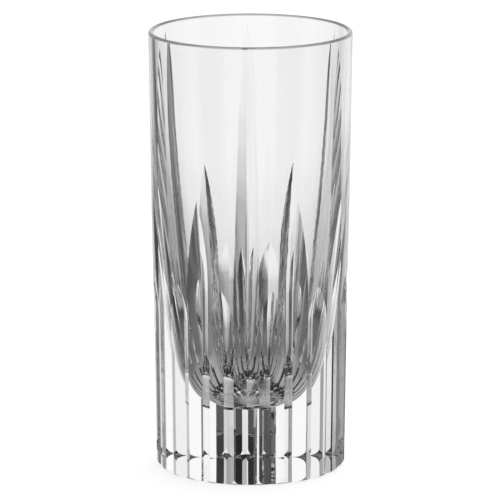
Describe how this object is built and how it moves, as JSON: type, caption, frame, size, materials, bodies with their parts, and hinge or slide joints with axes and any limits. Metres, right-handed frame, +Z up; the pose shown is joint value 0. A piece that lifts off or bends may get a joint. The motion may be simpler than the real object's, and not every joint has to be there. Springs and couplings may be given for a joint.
{
  "type": "vodka glass",
  "caption": "Tall straight-sided vodka glass of clear crystal with a heavy solid foot, a rounded cavity and pointed V cuts rising up the wall to three heights.",
  "frame": {"origin": "centre of the foot's flat underside", "axes": "+Z up along the axis of the glass, -Y towards the viewer of the picture, +X to that viewer's right"},
  "size_m": [0.0458, 0.0458, 0.1],
  "materials": {
    "crystal": "polished clear crystal"
  },
  "bodies": {
    "root": {"tumbler": "crystal"}
  },
  "joints": []
}
